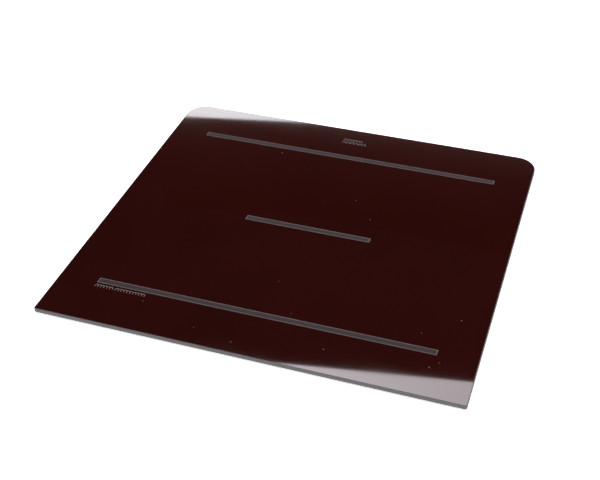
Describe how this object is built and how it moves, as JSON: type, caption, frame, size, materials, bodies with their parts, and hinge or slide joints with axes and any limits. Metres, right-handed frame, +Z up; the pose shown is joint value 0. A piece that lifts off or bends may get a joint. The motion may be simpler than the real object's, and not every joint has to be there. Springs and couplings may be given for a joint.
{
  "type": "hot plate burner",
  "caption": "Drop-in induction hot plate: dark glass-ceramic top with printed zone bars over a steel tray with coil, blower, power board, terminal hatch and swing-out worktop clamps.",
  "frame": {"origin": "centre of the worktop cut-out in the plane of the worktop's top face, where the rim seal rests", "axes": "+Z up out of the worktop, +X to the user's right, +Y to the rear"},
  "size_m": [0.35, 0.331, 0.0701],
  "materials": {
    "glass_ceramic": "polished dark glass-ceramic",
    "print_outline": "fired enamel, light grey",
    "print_field": "fired enamel, dark grey hatch",
    "seal_foam": "closed-cell foam strip",
    "silicone": "cured silicone bead",
    "zinc_steel": "galvanised sheet",
    "aluminium": "mill finish sheet",
    "screw_steel": "zinc-plated",
    "mica": "pressed mica",
    "litz_copper": "enamelled litz",
    "laminate": "mica laminate",
    "ferrite": "sintered ferrite",
    "spring_steel": "drawn wire",
    "white_ceramic": "ceramic",
    "holder_plastic": "moulded",
    "black_plastic": "moulded",
    "motor_metal": "turned can",
    "circuit_board": "solder mask",
    "chip_resin": "moulded resin",
    "capacitor_case": "moulded case",
    "magnet_wire": "enamelled wire",
    "grey_plastic": "moulded",
    "terminal_white": "moulded",
    "brass": "machined",
    "wire_sheath": "insulated wire"
  },
  "bodies": {
    "hob_body": {"glass_ceramic_plate": "glass_ceramic", "zone_bar_outlines": "print_outline", "zone_bar_fields": "print_field", "symbol_prints": "print_outline", "rim_seal": "seal_foam", "adhesive_bead": "silicone", "support_frame": "zinc_steel", "frame_screws": "screw_steel", "coil_support_plate": "aluminium", "bottom_tray": "zinc_steel", "guide_posts": "screw_steel", "coil_springs": "spring_steel", "lead_posts": "brass", "coil_leads": "litz_copper", "sensor_holders": "holder_plastic", "sensor_spring_1": "spring_steel", "sensor_spring_2": "spring_steel", "sensor_spring_3": "spring_steel", "blower_housing": "black_plastic", "blower_lid": "black_plastic", "blower_screws": "screw_steel", "blower_motor": "motor_metal", "power_board": "circuit_board", "board_fixings": "screw_steel", "heat_sink": "aluminium", "power_transistors": "chip_resin", "bridge_rectifier": "chip_resin", "transistor_screws": "screw_steel", "film_capacitors": "capacitor_case", "choke_core": "ferrite", "choke_winding": "magnet_wire", "terminal_housing": "grey_plastic", "terminal_block": "terminal_white", "terminal_sleeves": "brass", "cover_hinge_pin": "screw_steel", "cord_grip": "grey_plastic", "mains_wires": "wire_sheath", "cable_gland": "black_plastic", "gland_seal": "seal_foam", "gland_cap": "black_plastic", "control_socket": "black_plastic", "socket_contacts": "brass", "earth_stud": "brass", "clamp_brackets": "zinc_steel"},
    "coil_assembly": {"mica_sheet": "mica", "coil_winding": "litz_copper", "coil_former": "laminate", "ferrite_bars": "ferrite", "coil_carrier": "aluminium"},
    "impeller": {"blower_impeller": "holder_plastic"},
    "terminal_hatch": {"terminal_cover": "grey_plastic"},
    "sensor_1": {"sensor_cap_1": "white_ceramic"},
    "sensor_2": {"sensor_cap_2": "white_ceramic"},
    "sensor_3": {"sensor_cap_3": "white_ceramic"},
    "clamp_screw_right": {"clamp_screw_right": "screw_steel"},
    "clamp_nut_right": {"clamp_nut_right": "screw_steel"},
    "clamp_dog_right": {"clamp_dog_right": "zinc_steel"},
    "clamp_screw_left": {"clamp_screw_left": "screw_steel"},
    "clamp_nut_left": {"clamp_nut_left": "screw_steel"},
    "clamp_dog_left": {"clamp_dog_left": "zinc_steel"}
  },
  "joints": [
    {"name": "impeller_spin", "type": "hinge", "parent": "hob_body", "child": "impeller", "pos_m": [0.075, -0.06, -0.045], "axis": [0, 0, 1], "continuous": true},
    {"name": "coil_float", "type": "slide", "parent": "hob_body", "child": "coil_assembly", "axis": [0, 0, 1], "range_m": [-0.003, 0], "stiffness_N_per_m": 8000, "springref_m": 0.004, "deforming": ["coil_springs", "coil_leads"]},
    {"name": "sensor_press_1", "type": "slide", "parent": "hob_body", "child": "sensor_1", "axis": [0, 0, 1], "range_m": [-0.0025, 0], "stiffness_N_per_m": 400, "springref_m": 0.003, "deforming": ["sensor_spring_1"]},
    {"name": "sensor_press_2", "type": "slide", "parent": "hob_body", "child": "sensor_2", "axis": [0, 0, 1], "range_m": [-0.0025, 0], "stiffness_N_per_m": 400, "springref_m": 0.003, "deforming": ["sensor_spring_2"]},
    {"name": "sensor_press_3", "type": "slide", "parent": "hob_body", "child": "sensor_3", "axis": [0, 0, 1], "range_m": [-0.0025, 0], "stiffness_N_per_m": 400, "springref_m": 0.003, "deforming": ["sensor_spring_3"]},
    {"name": "terminal_hatch_hinge", "type": "hinge", "parent": "hob_body", "child": "terminal_hatch", "pos_m": [0.1, 0.08605, -0.06275], "axis": [-1, 0, 0], "range_deg": [0, 100]},
    {"name": "clamp_screw_spin_right", "type": "hinge", "parent": "hob_body", "child": "clamp_screw_right", "pos_m": [0.1505, 0, -0.04], "axis": [0, 0, 1], "range_deg": [0, 10080]},
    {"name": "clamp_lift_right", "type": "slide", "parent": "hob_body", "child": "clamp_nut_right", "axis": [0, 0, 1], "range_m": [0, 0.0224]},
    {"name": "clamp_swing_right", "type": "hinge", "parent": "clamp_nut_right", "child": "clamp_dog_right", "pos_m": [0.1505, 0, -0.05], "axis": [0, 0, 1], "range_deg": [-90, 0]},
    {"name": "clamp_screw_spin_left", "type": "hinge", "parent": "hob_body", "child": "clamp_screw_left", "pos_m": [-0.1505, 0, -0.04], "axis": [0, 0, 1], "range_deg": [0, 10080]},
    {"name": "clamp_lift_left", "type": "slide", "parent": "hob_body", "child": "clamp_nut_left", "axis": [0, 0, 1], "range_m": [0, 0.0224]},
    {"name": "clamp_swing_left", "type": "hinge", "parent": "clamp_nut_left", "child": "clamp_dog_left", "pos_m": [-0.1505, 0, -0.05], "axis": [0, 0, 1], "range_deg": [0, 90]}
  ],
  "couplings": [
    {"joint": "clamp_screw_spin_right", "follows": "clamp_lift_right", "rad_per_m": 7854},
    {"joint": "clamp_screw_spin_left", "follows": "clamp_lift_left", "rad_per_m": 7854}
  ]
}
